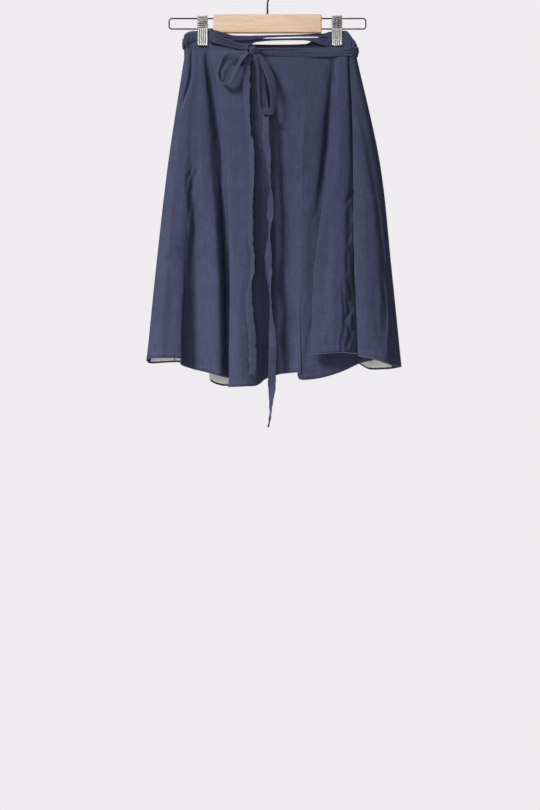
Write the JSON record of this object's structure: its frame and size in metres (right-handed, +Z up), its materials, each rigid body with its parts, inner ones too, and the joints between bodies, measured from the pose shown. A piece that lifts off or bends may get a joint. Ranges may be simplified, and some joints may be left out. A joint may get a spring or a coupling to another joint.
{
  "type": "wrap skirt on a clip hanger",
  "caption": "Navy linen wrap skirt with a pale printed inside, its ties bowed at the left front, held by the waist on a wood and wire clip hanger.",
  "frame": {"origin": "inside top of the hanger's hook, where a rail bears", "axes": "+Z up, along the hanging skirt; +X to the viewer's right across the front; the front faces -Y"},
  "size_m": [0.46, 0.1545, 0.8277],
  "materials": {
    "navy_linen": "matte washed linen",
    "printed_lining": "matte, faint grey print",
    "beech": "satin beech",
    "dark_chrome": "dark polished wire",
    "bright_steel": "bright pressed steel"
  },
  "bodies": {
    "root": {"under_front": "navy_linen", "over_front": "navy_linen", "back_panel": "navy_linen", "back_lining": "printed_lining", "tie_wrap": "navy_linen", "tie_front_left": "navy_linen", "strand_upper": "navy_linen", "strand_middle": "navy_linen", "knot": "navy_linen", "bow_loop_left": "navy_linen", "bow_loop_right": "navy_linen", "short_tie_end": "navy_linen", "long_tie_end": "navy_linen", "hanger_bar": "beech", "hanger_wire_left": "dark_chrome", "hanger_wire_right": "dark_chrome", "hanger_hook": "dark_chrome", "clip_left_front": "bright_steel", "clip_left_back": "bright_steel", "clip_left_core": "bright_steel", "clip_right_front": "bright_steel", "clip_right_back": "bright_steel", "clip_right_core": "bright_steel"}
  },
  "joints": []
}
